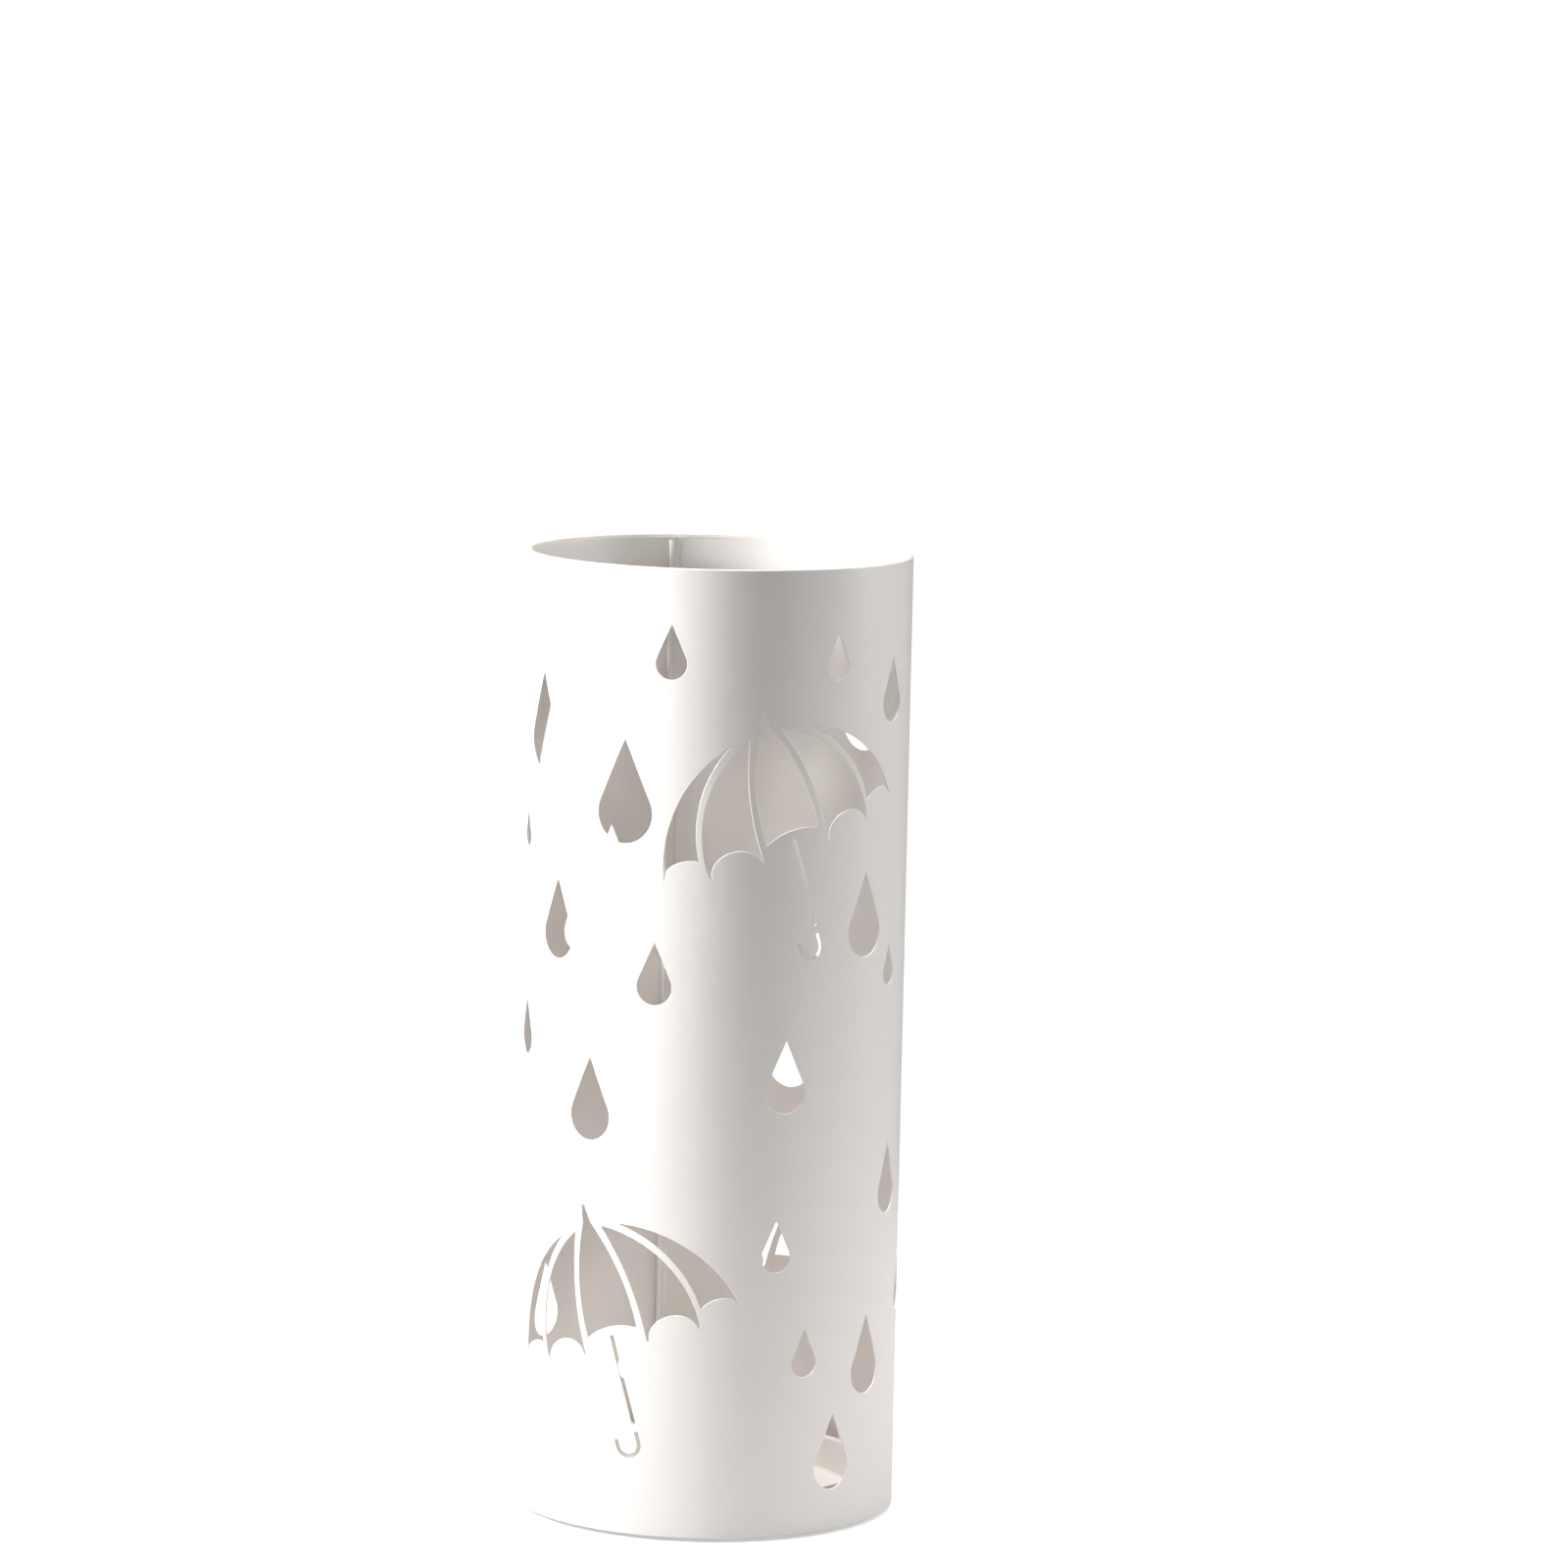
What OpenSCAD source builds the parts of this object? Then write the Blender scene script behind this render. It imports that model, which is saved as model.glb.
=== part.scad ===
// Round umbrella stand: a rolled sheet-steel tube pierced with raindrops and umbrellas,
// a welded-in floor dish, a lift-out drip tray, hooks for folding umbrellas and foot pads.
// Millimetres, +Z up. The origin is the middle of the footprint, on the surface the stand
// rests on. -Y is the front, +X is to the right of someone who faces it, and the lap seam
// of the tube runs down the back at +Y.

/* [Tube] */
// Outside diameter of the tube
tube_d = 195; // [170:1:240]
// Height of the tube, from its lower edge to the top of the rim
tube_h = 488; // [430:1:600]
// Thickness of the sheet steel
sheet_t = 0.8; // [0.6:0.1:1.5]
// Height of the hem folded in along the rim
hem_h = 2.6; // [2:0.1:8]
// Width of the inner flap of the lap seam
lap_w = 8; // [5:0.5:14]
// Gap at the ends of that flap, to the flange of the floor dish and to the hem
lap_clear = 1; // [0.5:0.1:4]
// Width of the hairline where the sheet's outer end stops, over the flap
lap_line_w = 0.4; // [0.2:0.1:0.8]
// Depth of that hairline
lap_line_d = 0.3; // [0.1:0.1:0.5]

/* [Raindrop cut-outs] */
// Length of a raindrop for each millimetre of its width
drop_slender = 1.73; // [1.5:0.01:2]

/* [Umbrella cut-outs] */
// Lean of each umbrella, its tip to the left, in degrees
umbrella_lean = 16.7; // [10:0.1:24]
// Width of the slots that draw the shaft and the handle
stick_w = 2; // [1.4:0.1:3]
// Length of the shaft slot
shaft_len = 46; // [30:1:48]
// Sheet left between the shaft slot and the handle slot
shaft_bridge = 4; // [2.5:0.1:8]
// Radius of the bend of the handle, at the middle of its slot
crook_r = 5.8; // [4:0.1:9]
// Straight length of the handle above its bend
crook_neck = 5.5; // [3:0.1:9]
// Straight length at the open end of the handle
crook_tip = 4; // [1:0.1:6]

/* [Floor dish] */
// Thickness of the floor dish
floor_t = 1; // [0.8:0.1:2]
// Height of the flange welded to the tube, from the tube's lower edge
floor_flange_h = 12; // [8:0.5:18]
// Outside radius of the bend between floor and flange
floor_bend_r = 3; // [2.2:0.1:5]
// Gap between the flange and the tube
floor_gap = 0.1; // [0.05:0.05:0.3]

/* [Drip tray] */
// Height of the drip tray
tray_h = 18; // [12:0.5:19]
// Wall thickness of the drip tray
tray_t = 1.6; // [1.2:0.1:3]
// Draft of the tray's side, its foot this much smaller in radius than its rim
tray_draft = 4; // [2:0.5:8]
// Width of the rolled lip of the tray
tray_lip_w = 3; // [2.4:0.1:5]
// Height of the ribs that keep a wet tip off the tray's floor
tray_rib_h = 1.6; // [1:0.1:3]
// Number of ribs across the tray's floor
tray_ribs = 6; // [3:1:9]
// Gap at the ends of the ribs, for water to run round them
tray_rib_end = 5; // [3:0.5:10]
// Clearance between the tray's lip and the hooks as the tray is lifted out
tray_clear = 1.4; // [1:0.1:4]

/* [Hooks] */
// Width of a hook
hook_w = 12; // [8:0.5:16]
// Thickness of a hook's strip
hook_t = 1.2; // [1:0.1:2]
// Opening of a hook, from its back to its tip
hook_gape = 7; // [5:0.5:9]
// Length of the back of a hook, down to the start of its bend
hook_back = 18; // [12:1:26]
// Length of a hook's tip, above its bend
hook_tip = 6; // [3:0.5:10]
// Distance from the rim down to the top of a hook
hook_drop = 20; // [16:1:30]
// Gap between a hook's back and the tube
hook_gap = 0.1; // [0.05:0.05:0.3]

/* [Foot pads] */
// Diameter of a foot pad
foot_d = 16; // [10:1:24]
// Thickness of a foot pad, which lifts the tube off the floor
foot_h = 2; // [1.5:0.5:5]
// Distance from the tube to the edge of a foot pad
foot_inset = 8; // [4:1:20]

/* [Hidden] */
HOOKS = 4;
FEET = 4;
$fn = 96;
CUT = 1;                       // how far a cutter runs past what it cuts
CUT_HALF_SPAN = 24;            // degrees from the middle of the widest cut to its edge, and some to spare

tube_r = tube_d / 2;
tube_ri = tube_r - sheet_t;
tube_z = foot_h;
top_z = tube_z + tube_h;
flange_r = tube_ri - floor_gap;
hook_seat_r = sqrt(pow(tube_ri, 2) - pow(hook_w / 2, 2)) - hook_gap;
hook_inner_r = hook_seat_r - hook_gape - 2 * hook_t;
tray_r = hook_inner_r - tray_clear;
tray_foot_r = tray_r - tray_lip_w - tray_draft;
tray_z = tube_z + floor_t;
tray_rib_pitch = 2 * (tray_foot_r - tray_t - tray_rib_end) / (tray_ribs + 1);
foot_ring_r = tube_r - foot_inset - foot_d / 2;

// The pattern is laid out on this sheet. It keeps its angles and its share of the height
// when the tube changes, and its motifs grow or shrink with the tube's smaller change.
LAYOUT_R = 97.5;
LAYOUT_H = 488;
high_k = tube_h / LAYOUT_H;
motif_k = min(high_k, tube_r / LAYOUT_R);

// Raindrops: angle from the front (positive to the viewer's right), height of the tip
// above the tube's lower edge, and length.
FRONT_DROPS = [
    [-91.5, 358.5, 20], [-89.5, 263, 30], [-79, 430.5, 49.5], [-69, 328, 41],
    [-54, 240.5, 42.5], [-43.5, 402, 52.5], [-33, 301, 31.5], [-29.5, 460, 27.5],
    [5, 161.5, 26.5], [7, 252.5, 37], [15, 105.5, 25], [22, 455.5, 23.5],
    [26, 60, 39], [35.5, 335, 44], [40.5, 107.5, 41], [48, 441, 33],
    [49.5, 295, 21], [52, 193, 36.5], [67.5, 128.5, 27]
];
BACK_DROPS = [
    [82, 460, 25], [86, 392, 44], [92, 320, 32], [88, 242, 40], [88, 60, 30],
    [112, 190, 35], [113.5, 431, 51], [128, 298, 30], [139, 239.5, 41.5],
    [142, 441, 28], [161, 436, 40], [161, 317, 33], [159, 192, 25], [165, 64, 38],
    [167, 268, 41],
    [-168, 446, 28], [-172, 67, 28], [-170, 194, 36], [-161.5, 336.5, 30],
    [-152, 166, 27], [-150, 52, 24], [-149, 310, 38], [-135.5, 110.5, 39.5],
    [-133, 403, 41.5], [-119, 462, 25], [-128, 210, 31], [-116, 307, 42],
    [-113, 394, 34], [-112, 96, 29]
];
// Umbrellas: angle from the front, and height of the top of the shaft slot.
UMBRELLAS = [[8, 353.7], [-44.5, 100.4], [134.8, 102.3]];

// Half canopy of an umbrella, upright, from the top of its shaft slot: [across, up].
// Each edge is one arc: [start, end, bulge].
FERRULE_TIP = [0.9, 67];
FERRULE_FOOT = [2.3, 58];
MID_CORNER = [14.6, 1.2];
MID_EDGE_BULGE = 4.1;
MID_HEM_RISE = 3.3;
SIDE_TOP = [8.5, 54.8];
SIDE_IN_TAIL = [18.1, -6.8];
SIDE_IN_BULGE = 3.6;
SIDE_OUT_TAIL = [46.6, -5.8];
SIDE_OUT_BULGE = 11.7;
SIDE_TAIL_W = 1.2;
SIDE_HEM_RISE = 10;
OUTER_TOP = [18.4, 54.2];
OUTER_CORNER = [49.3, 2.8];
OUTER_IN_BULGE = 7.6;
OUTER_TAIL = [69, -1.9];
OUTER_OUT_BULGE = 10.8;
OUTER_HEM_END = [66.2, 3.2];
OUTER_HEM_RISE = 2.2;
EDGE_STEPS = 9;                // straight steps along each long edge of a canopy panel
HEM_STEPS = 8;                 // straight steps along the lower edge of a panel
CROOK_STEPS = 14;              // straight steps round the handle's bend
BELLY_STEPS = 18;              // straight steps round the belly of a raindrop

// Points along the arc from a to b that stands out by bulge on the left of the line a-b.
function arc(a, b, bulge, steps) =
    let (
        chord = norm(b - a),
        along = (b - a) / chord,
        out = [-along[1], along[0]],
        r = (chord * chord / 4 + bulge * bulge) / (2 * bulge),
        half = asin(chord / (2 * r)),
        middle = (a + b) / 2 + out * (bulge - r)
    )
    [for (i = [0:steps])
        let (turn = -half + 2 * half * i / steps)
        middle + r * (out * cos(turn) + along * sin(turn))];

// Points along the half ellipse from a to b, both at one height, that rises by rise.
function arch(a, b, rise, steps) =
    [for (i = [0:steps])
        let (turn = 180 * i / steps)
        (a + b) / 2 - (b - a) / 2 * cos(turn) + [0, rise * sin(turn)]];

function reversed(points) = [for (i = [len(points) - 1:-1:0]) points[i]];
function mirrored(points) = [for (p = reversed(points)) [-p[0], p[1]]];

// The five panels of the canopy, and the two slots of the stick.
function mid_half() = concat([FERRULE_TIP], arc(FERRULE_FOOT, MID_CORNER, MID_EDGE_BULGE, EDGE_STEPS));
function mid_panel() =
    concat(mid_half(), reversed(arc([-MID_CORNER[0], MID_CORNER[1]], MID_CORNER, MID_HEM_RISE, HEM_STEPS)),
           mirrored(mid_half()));
function side_panel() =
    concat(arc(SIDE_TOP, SIDE_OUT_TAIL, SIDE_OUT_BULGE, EDGE_STEPS),
           reversed(arch(SIDE_IN_TAIL + [SIDE_TAIL_W, 0], [SIDE_OUT_TAIL[0] - SIDE_TAIL_W, SIDE_IN_TAIL[1]],
                         SIDE_HEM_RISE, HEM_STEPS)),
           reversed(arc(SIDE_TOP, SIDE_IN_TAIL, SIDE_IN_BULGE, EDGE_STEPS)));
function outer_panel() =
    concat(arc(OUTER_TOP, OUTER_TAIL, OUTER_OUT_BULGE, EDGE_STEPS),
           reversed(arc(OUTER_CORNER, OUTER_HEM_END, OUTER_HEM_RISE, HEM_STEPS)),
           reversed(arc(OUTER_TOP, OUTER_CORNER, OUTER_IN_BULGE, EDGE_STEPS)));
function shaft_slot() =
    [[-stick_w / 2, 0], [stick_w / 2, 0], [stick_w / 2, -shaft_len], [-stick_w / 2, -shaft_len]];
function crook_side(r) =
    let (neck_y = -shaft_len - shaft_bridge - crook_neck)
    concat([[r - crook_r, neck_y + crook_neck]],
           [for (i = [0:CROOK_STEPS])
               let (turn = -180 * i / CROOK_STEPS)
               [-crook_r + r * cos(turn), neck_y + r * sin(turn)]],
           [[-crook_r - r, neck_y + crook_tip]]);
function crook_slot() =
    concat(crook_side(crook_r + stick_w / 2), reversed(crook_side(crook_r - stick_w / 2)));
function umbrella_cuts() =
    [mid_panel(), side_panel(), mirrored(side_panel()), outer_panel(), mirrored(outer_panel()),
     shaft_slot(), crook_slot()];

// A point of an upright motif, leaned over and brought to its size on the unrolled sheet.
function leaned(p) =
    motif_k * [p[0] * cos(umbrella_lean) - p[1] * sin(umbrella_lean),
               p[0] * sin(umbrella_lean) + p[1] * cos(umbrella_lean)];
function across_middle(points) =
    let (across = [for (p = points) p[0]])
    (min(across) + max(across)) / 2;
// The same point rolled round the tube, as seen square on at the middle of its cut.
function rolled(p, middle) = [tube_r * sin((p[0] - middle) / tube_r * 180 / PI), p[1]];

// Cuts an outline through the wall, at an angle from the front.
module through_wall(angle) {
    rotate([0, 0, angle])
        translate([0, -tube_r + sheet_t + reach(), 0])
            rotate([90, 0, 0])
                linear_extrude(height = sheet_t + reach() + CUT)
                    children();
}
// How far inside the wall a cutter starts, so that its edges clear the curve of the tube.
function reach() = tube_r * (1 - cos(CUT_HALF_SPAN));

module umbrella_cut(place) {
    for (outline = [for (cut = umbrella_cuts()) [for (p = cut) leaned(p)]])
        through_wall(place[0] + across_middle(outline) / tube_r * 180 / PI)
            translate([0, tube_z + place[1] * high_k])
                polygon([for (p = outline) rolled(p, across_middle(outline))]);
}

// A raindrop, the middle of its round belly at [0, 0]: two straight sides from the tip
// meet the belly at a tangent.
function drop_outline(belly_r, tip_to_middle) =
    let (tip_half = asin(belly_r / tip_to_middle))
    concat([[0, tip_to_middle]],
           [for (i = [0:BELLY_STEPS])
               let (turn = tip_half - (180 + 2 * tip_half) * i / BELLY_STEPS)
               belly_r * [cos(turn), sin(turn)]]);

// A raindrop is small enough to be cut straight through.
module drop_cut(place) {
    length = place[2] * motif_k;
    belly_r = length / drop_slender / 2;
    through_wall(place[0])
        translate([0, tube_z + place[1] * high_k - length + belly_r])
            polygon(drop_outline(belly_r, length - belly_r));
}

// The wall with the hem folded in and its rounded rim.
module tube_wall() {
    rotate_extrude() {
        translate([tube_ri, tube_z])
            square([sheet_t, tube_h - sheet_t]);
        translate([tube_ri - sheet_t, top_z - hem_h])
            square([2 * sheet_t, hem_h - sheet_t]);
        translate([tube_ri, top_z - sheet_t])
            circle(r = sheet_t);
    }
}

// The inner end of the sheet, lapped on the wall beside the back line, from just above
// the flange of the floor dish to just below the hem.
module lap_flap() {
    flap_angle = lap_w / tube_ri * 180 / PI;
    flap_z = tube_z + floor_flange_h + lap_clear;
    rotate([0, 0, 90 - flap_angle])
        rotate_extrude(angle = flap_angle)
            translate([tube_ri - sheet_t, flap_z])
                square([sheet_t, top_z - hem_h - lap_clear - flap_z]);
}

module shell() {
    color("white")
        difference() {
            union() {
                tube_wall();
                lap_flap();
            }
            for (place = FRONT_DROPS)
                drop_cut(place);
            for (place = BACK_DROPS)
                drop_cut(place);
            for (place = UMBRELLAS)
                umbrella_cut(place);
            lap_line();
        }
}

// The hairline down the back, where the sheet's outer end stops over the flap.
module lap_line() {
    rotate([0, 0, -lap_w / 2 / tube_r * 180 / PI])
        translate([-lap_line_w / 2, tube_r - lap_line_d, tube_z - CUT])
            cube([lap_line_w, lap_line_d + CUT, tube_h - hem_h + CUT]);
}

// A pressed dish: flat floor, rounded bend and upright flange.
module floor_dish() {
    color("white")
        translate([0, 0, tube_z])
            rotate_extrude()
                difference() {
                    union() {
                        square([flange_r - floor_bend_r, floor_t]);
                        translate([flange_r - floor_bend_r, floor_bend_r])
                            circle(r = floor_bend_r);
                        translate([flange_r - floor_t, floor_bend_r])
                            square([floor_t, floor_flange_h - floor_bend_r]);
                    }
                    translate([flange_r - floor_bend_r, floor_bend_r])
                        circle(r = floor_bend_r - floor_t);
                    translate([0, floor_t])
                        square([flange_r - floor_bend_r, floor_flange_h]);
                    translate([0, floor_bend_r])
                        square([flange_r - floor_t, floor_flange_h]);
                }
}

// A moulded dish with a drafted side and a lip to lift it by, ribbed inside.
module drip_tray() {
    side_top = tray_h - tray_t;
    color("whitesmoke")
        translate([0, 0, tray_z]) {
            rotate_extrude()
                polygon([
                    [0, 0], [tray_foot_r, 0], [tray_foot_r + tray_draft, side_top],
                    [tray_r, side_top], [tray_r, tray_h], [tray_foot_r + tray_draft - tray_t, tray_h],
                    [tray_foot_r - tray_t, tray_t], [0, tray_t]
                ]);
            for (i = [1:tray_ribs])
                tray_rib((i - (tray_ribs + 1) / 2) * tray_rib_pitch);
        }
}

// A rib across the floor of the tray, stopping short of its side.
module tray_rib(across) {
    half_len = sqrt(pow(tray_foot_r - tray_t - tray_rib_end, 2) - across * across);
    translate([across - tray_t / 2, -half_len, 0])
        cube([tray_t, 2 * half_len, tray_t + tray_rib_h]);
}

// The side view of a hook, its back on the line x = 0 and its top at y = 0.
module hook_outline() {
    bend_r = hook_gape / 2 + hook_t;
    tip_x = hook_gape + hook_t;
    translate([0, -hook_back])
        square([hook_t, hook_back]);
    translate([tip_x, -hook_back])
        square([hook_t, hook_tip - hook_t / 2]);
    translate([tip_x + hook_t / 2, -hook_back + hook_tip - hook_t / 2])
        circle(r = hook_t / 2);
    intersection() {
        translate([bend_r, -hook_back])
            difference() {
                circle(r = bend_r);
                circle(r = hook_gape / 2);
            }
        translate([0, -hook_back - bend_r])
            square([2 * bend_r, bend_r]);
    }
}

// A strip bent to a J and spot-welded to the inside of the tube. Hooks stand midway
// between front, sides and back, clear of the lap seam.
module hook(number) {
    color("white")
        rotate([0, 0, (number - 0.5) * 360 / HOOKS])
            translate([0, -hook_seat_r, top_z - hook_drop])
                rotate([90, 0, 90])
                    linear_extrude(height = hook_w, center = true)
                        hook_outline();
}
module hook_1() hook(1);
module hook_2() hook(2);
module hook_3() hook(3);
module hook_4() hook(4);

// An anti-slip disc stuck under the floor dish.
module foot(number) {
    color("dimgray")
        rotate([0, 0, (number - 0.5) * 360 / FEET])
            translate([0, -foot_ring_r, 0])
                cylinder(d = foot_d, h = foot_h);
}
module foot_1() foot(1);
module foot_2() foot(2);
module foot_3() foot(3);
module foot_4() foot(4);

shell();
floor_dish();
drip_tray();
hook_1();
hook_2();
hook_3();
hook_4();
foot_1();
foot_2();
foot_3();
foot_4();
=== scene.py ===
import math

import bpy
import numpy as np
from mathutils import Matrix, Vector
from mathutils.geometry import delaunay_2d_cdt


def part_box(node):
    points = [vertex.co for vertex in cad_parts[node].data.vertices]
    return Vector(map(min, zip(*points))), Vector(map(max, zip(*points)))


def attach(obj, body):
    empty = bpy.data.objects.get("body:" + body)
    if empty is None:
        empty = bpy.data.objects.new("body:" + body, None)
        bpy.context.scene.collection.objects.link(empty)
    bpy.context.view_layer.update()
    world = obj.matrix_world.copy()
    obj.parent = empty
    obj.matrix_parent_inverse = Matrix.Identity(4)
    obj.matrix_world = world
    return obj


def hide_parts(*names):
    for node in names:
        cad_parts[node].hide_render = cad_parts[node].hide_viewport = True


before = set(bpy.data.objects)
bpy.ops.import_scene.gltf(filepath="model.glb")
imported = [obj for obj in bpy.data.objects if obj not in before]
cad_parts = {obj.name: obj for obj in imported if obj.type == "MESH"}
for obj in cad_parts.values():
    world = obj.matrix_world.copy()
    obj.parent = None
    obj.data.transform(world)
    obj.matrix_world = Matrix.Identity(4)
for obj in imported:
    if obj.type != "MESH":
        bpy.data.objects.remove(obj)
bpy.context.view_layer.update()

# ======================================================================================
# The tube
# One sheet of thin steel: raindrops and umbrellas are cut through it while it is flat, its
# upper edge is folded over to a hem, and it is rolled to a cylinder and spot-welded down a
# lap seam at the back. The whole tube is powder-coated in a satin white.
# ======================================================================================
MM = 0.001
shell_low, shell_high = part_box("shell")
tube_r = min(shell_high.x, shell_high.y, -shell_low.x, -shell_low.y) / MM
foot_lift = shell_low.z / MM
tube_h = (shell_high.z - shell_low.z) / MM
sheet_t = 0.8
hem_h = 2.6
hem_gap = 0.1                  # left inside the fold of the hem
edge_r = 0.18                  # rounding of a cut edge under its paint

# The sheet is laid out flat: x is the length round the tube from its front, y the height
# above the lower edge. The fold of the hem takes up fold_length of the sheet.
fold_length = 1.4
fold_y = tube_h - sheet_t - hem_gap / 2
blank_top = fold_y + fold_length + hem_h - sheet_t
seam_angle = 177.65
seam_x = math.radians(seam_angle) * tube_r
low_gap, top_gap = 0.2, 0.02   # from the seam line to the sheet's ends, below and at the hem
flap_end_x = math.pi * tube_r
flap_low, flap_high = 13.0, tube_h - hem_h - 1
flap_fade = 3.0                # height over which the joggle dies out at the flap's two ends
flap_inner_r = tube_r - 2 * sheet_t - hem_gap
joggle = 0.9                   # length over which the flap steps in under the outer end
joggle_x = seam_x - joggle - low_gap

drop_slender = 1.73            # length of a drop over its width
# Angle from the front in degrees, height of the tip above the lower edge, length.
drops = [
    (-91.5, 358.5, 20), (-89.5, 263, 30), (-79, 430.5, 49.5), (-69, 328, 41),
    (-54, 240.5, 42.5), (-43.5, 402, 52.5), (-33, 301, 31.5), (-29.5, 460, 27.5),
    (5, 161.5, 26.5), (7, 252.5, 37), (15, 105.5, 25), (22, 455.5, 23.5),
    (26, 60, 39), (35.5, 335, 44), (40.5, 107.5, 41), (48, 441, 33),
    (49.5, 295, 21), (52, 193, 36.5), (67.5, 128.5, 27),
    (82, 460, 25), (86, 392, 44), (92, 320, 32), (88, 242, 40), (88, 60, 30),
    (112, 190, 35), (113.5, 431, 51), (128, 298, 30), (139, 239.5, 41.5),
    (142, 441, 28), (161, 436, 40), (161, 317, 33), (159, 192, 25), (165, 64, 38),
    (167, 268, 41),
    (-168, 446, 28), (-172, 67, 28), (-170, 194, 36), (-161.5, 336.5, 30),
    (-152, 166, 27), (-150, 52, 24), (-149, 310, 38), (-135.5, 110.5, 39.5),
    (-133, 403, 41.5), (-119, 462, 25), (-128, 210, 31), (-116, 307, 42),
    (-113, 394, 34), (-112, 96, 29),
]
# Angle from the front, and height of the top of the shaft.
umbrellas = [(8, 353.7), (-44.5, 100.4), (134.8, 102.3)]
umbrella_lean = math.radians(16.7)


def arc(a, b, bulge, steps=16):
    """Points along the arc from a to b that stands out by bulge on the left of the line."""
    a, b = np.array(a, float), np.array(b, float)
    chord = np.linalg.norm(b - a)
    along = (b - a) / chord
    out = np.array([-along[1], along[0]])
    r = (chord * chord / 4 + bulge * bulge) / (2 * bulge)
    turn = np.linspace(-1, 1, steps + 1)[:, None] * math.asin(chord / (2 * r))
    return (a + b) / 2 + out * (bulge - r) + r * (out * np.cos(turn) + along * np.sin(turn))


def arch(a, b, rise, steps=14):
    """Points along the half ellipse from a to b that rises by rise."""
    a, b = np.array(a, float), np.array(b, float)
    turn = np.linspace(0, math.pi, steps + 1)[:, None]
    return (a + b) / 2 - (b - a) / 2 * np.cos(turn) + np.array([0, rise]) * np.sin(turn)


def mirrored(points):
    return points[::-1] * (-1, 1)


def umbrella_outlines():
    """The five panels of a canopy, the shaft and the handle, measured from the shaft's top."""
    half = np.vstack([[(0.9, 67)], arc((2.3, 58), (14.6, 1.2), 4.1)])
    middle = np.vstack([half, arc((-14.6, 1.2), (14.6, 1.2), 3.3)[::-1][1:-1], mirrored(half)])
    side = np.vstack([arc((8.5, 54.8), (46.6, -5.8), 11.7, 22),
                      arch((19.3, -6.8), (45.4, -6.8), 10)[::-1],
                      arc((8.5, 54.8), (18.1, -6.8), 3.6, 22)[::-1][:-1]])
    outer = np.vstack([arc((18.4, 54.2), (69, -1.9), 10.8, 22),
                       arc((49.3, 2.8), (66.2, 3.2), 2.2, 10)[::-1],
                       arc((18.4, 54.2), (49.3, 2.8), 7.6, 22)[::-1][1:-1]])
    shaft_low, half_w = -46, 1
    shaft = np.array([(-half_w, 0), (half_w, 0), (half_w, shaft_low), (-half_w, shaft_low)], float)
    bridge, neck, hook_end, bend_r = 4, 5.5, 4, 5.8
    bend_y = shaft_low - bridge - neck
    turn = np.linspace(0, -math.pi, 25)[:, None]

    def handle_side(r):
        bend = np.hstack([r * np.cos(turn) - bend_r, r * np.sin(turn) + bend_y])
        return np.vstack([[(r - bend_r, bend_y + neck)], bend, [(-bend_r - r, bend_y + hook_end)]])

    handle = np.vstack([handle_side(bend_r + half_w), handle_side(bend_r - half_w)[::-1]])
    return [middle, side, mirrored(side), outer, mirrored(outer), shaft, handle]


def drop_outline(angle, tip_y, length, steps=30):
    """A raindrop: two straight sides from the tip meet the round belly at a tangent."""
    belly_r = length / drop_slender / 2
    reach = length - belly_r
    tip_half = math.asin(belly_r / reach)
    turn = tip_half - (math.pi + 2 * tip_half) * np.linspace(0, 1, steps + 1)[:, None]
    flat = np.vstack([[(0, reach)], belly_r * np.hstack([np.cos(turn), np.sin(turn)])])
    across = np.arcsin(flat[:, 0] / tube_r) + math.radians(angle)
    return np.stack([across * tube_r, flat[:, 1] + tip_y - reach], 1)


def divided(outline, longest=2.5, closed=True):
    """The outline with its long edges divided, so that it can follow the roll."""
    points = []
    for a, b in list(zip(outline, np.roll(outline, -1, 0)))[:None if closed else -1]:
        count = max(1, math.ceil(np.linalg.norm(b - a) / longest))
        points += [a + (b - a) * i / count for i in range(count)]
    return np.array(points)


def counterclockwise(outline):
    x, y = outline.T
    area = (x * np.roll(y, -1) - y * np.roll(x, -1)).sum()
    return outline if area > 0 else outline[::-1]


def outward(outline):
    """For each point of a counterclockwise outline, how it moves as the outline grows by 1."""
    edge = np.roll(outline, -1, 0) - outline
    edge /= np.linalg.norm(edge, axis=1)[:, None]
    normal = np.stack([edge[:, 1], -edge[:, 0]], 1)
    before = np.roll(normal, 1, 0)
    both = (normal + before) / (1 + (normal * before).sum(1))[:, None].clip(0.3)
    size = np.linalg.norm(both, axis=1)[:, None]
    return both * np.minimum(1, 2 / size)


lean = np.array([[math.cos(umbrella_lean), math.sin(umbrella_lean)],
                 [-math.sin(umbrella_lean), math.cos(umbrella_lean)]])
cuts = [drop_outline(*drop) for drop in drops]
for angle, shaft_top in umbrellas:
    cuts += [p @ lean + (math.radians(angle) * tube_r, shaft_top) for p in umbrella_outlines()]
cuts = [counterclockwise(divided(cut)) for cut in cuts]

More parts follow.
